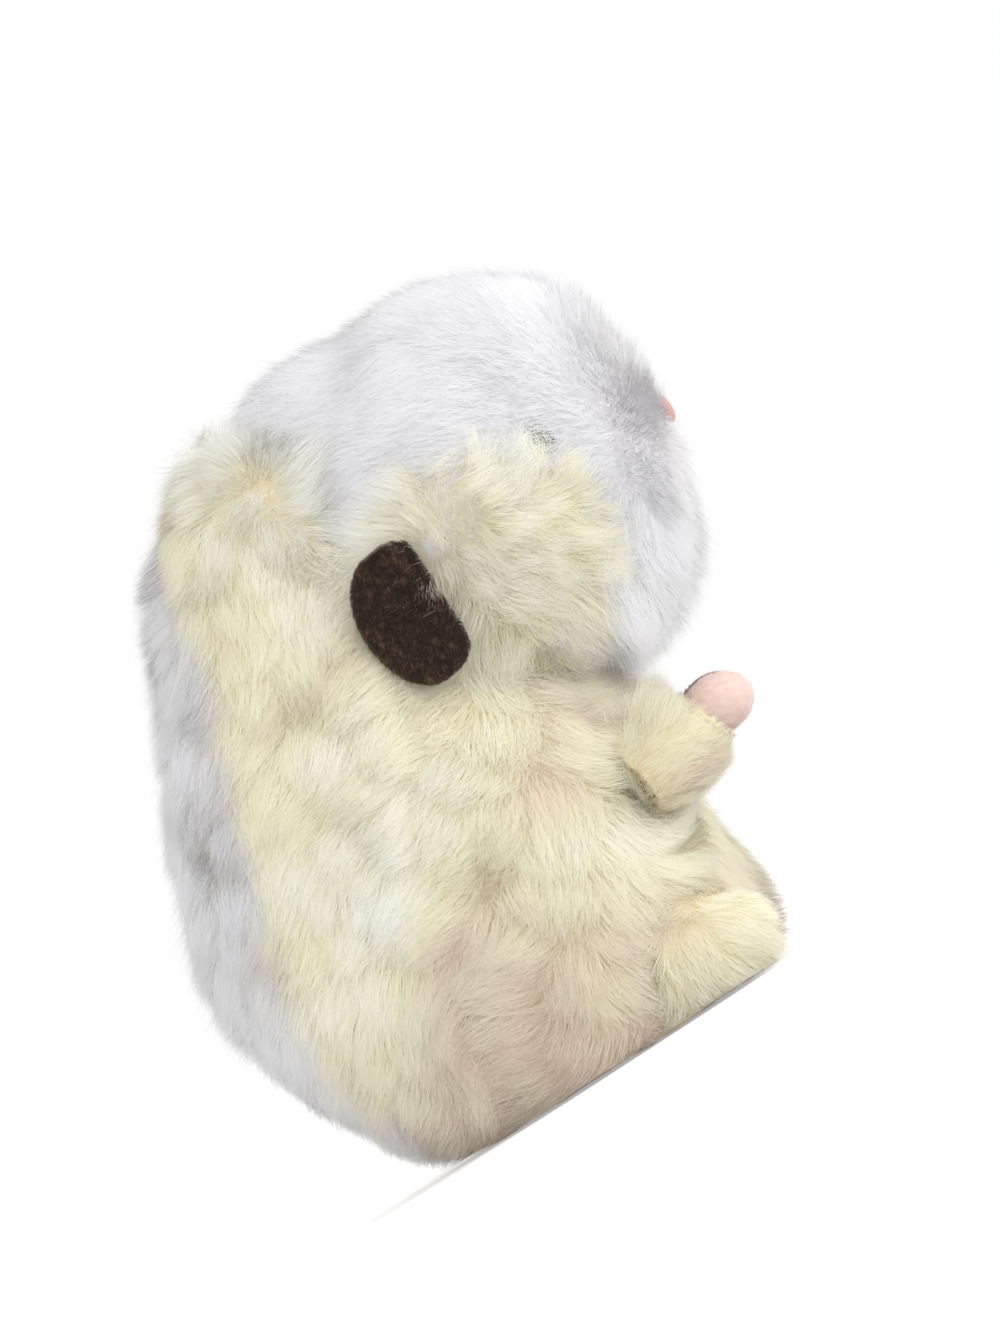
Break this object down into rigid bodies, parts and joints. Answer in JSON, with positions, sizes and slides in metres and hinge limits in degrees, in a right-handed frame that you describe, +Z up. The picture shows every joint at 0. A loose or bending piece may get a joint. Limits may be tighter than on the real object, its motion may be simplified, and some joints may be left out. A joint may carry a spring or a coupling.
{
  "type": "plush guinea pig",
  "caption": "Stuffed guinea pig of long-pile cream and white plush that sits upright on a flat base, with brown hanging ears, forward arms and pink paws.",
  "frame": {"origin": "on the ground at the middle of the base panel that the toy sits on", "axes": "+Z up, the toy faces -Y, its left side is +X"},
  "size_m": [0.1202, 0.1837, 0.2025],
  "materials": {
    "cream_fur": "long-pile plush",
    "white_fur": "long-pile plush",
    "cheek_fur": "long fluffy pile plush",
    "brown_nap": "short nap",
    "pink_nap": "short nap",
    "nose_thread": "satin stitch",
    "filling": "loose polyester fibre",
    "eye_plastic": "polished",
    "washer_plastic": "moulded"
  },
  "bodies": {
    "torso": {"flank_right": "cream_fur", "flank_left": "cream_fur", "back_gusset": "white_fur", "belly_panel": "cream_fur", "base_panel": "cream_fur", "torso_filling": "filling"},
    "head": {"crown_panel": "white_fur", "muzzle_panel": "white_fur", "cheek_right": "cheek_fur", "cheek_left": "cheek_fur", "head_filling": "filling", "nose": "nose_thread", "eye_right": "eye_plastic", "eye_left": "eye_plastic", "eye_washer_right": "washer_plastic", "eye_washer_left": "washer_plastic"},
    "right_ear": {"ear_right_outer": "brown_nap", "ear_right_inner": "brown_nap"},
    "right_arm": {"arm_right": "cream_fur", "arm_filling_right": "filling", "paw_right": "pink_nap"},
    "right_leg": {"leg_right": "cream_fur", "leg_filling_right": "filling"},
    "left_ear": {"ear_left_outer": "brown_nap", "ear_left_inner": "brown_nap"},
    "left_arm": {"arm_left": "cream_fur", "arm_filling_left": "filling", "paw_left": "pink_nap"},
    "left_leg": {"leg_left": "cream_fur", "leg_filling_left": "filling"}
  },
  "joints": [
    {"name": "head_nod", "type": "hinge", "parent": "torso", "child": "head", "pos_m": [0, -0.048, 0.144], "axis": [1, 0, 0], "range_deg": [-4, 10], "stiffness_Nm_per_rad": 0.4},
    {"name": "right_ear_flap", "type": "hinge", "parent": "head", "child": "right_ear", "pos_m": [-0.05127, -0.022, 0.13], "axis": [0, 0, 1], "range_deg": [0, 60], "stiffness_Nm_per_rad": 0.004},
    {"name": "right_arm_swing", "type": "hinge", "parent": "torso", "child": "right_arm", "pos_m": [-0.036, -0.044, 0.061], "axis": [1, 0, 0], "range_deg": [-15, 15], "stiffness_Nm_per_rad": 0.05},
    {"name": "right_leg_lift", "type": "hinge", "parent": "torso", "child": "right_leg", "pos_m": [-0.038, -0.024, 0.016], "axis": [-1, 0, 0], "range_deg": [0, 12], "stiffness_Nm_per_rad": 0.05},
    {"name": "left_ear_flap", "type": "hinge", "parent": "head", "child": "left_ear", "pos_m": [0.05127, -0.022, 0.13], "axis": [0, 0, -1], "range_deg": [0, 60], "stiffness_Nm_per_rad": 0.004},
    {"name": "left_arm_swing", "type": "hinge", "parent": "torso", "child": "left_arm", "pos_m": [0.036, -0.044, 0.061], "axis": [1, 0, 0], "range_deg": [-15, 15], "stiffness_Nm_per_rad": 0.05},
    {"name": "left_leg_lift", "type": "hinge", "parent": "torso", "child": "left_leg", "pos_m": [0.038, -0.024, 0.016], "axis": [-1, 0, 0], "range_deg": [0, 12], "stiffness_Nm_per_rad": 0.05}
  ]
}
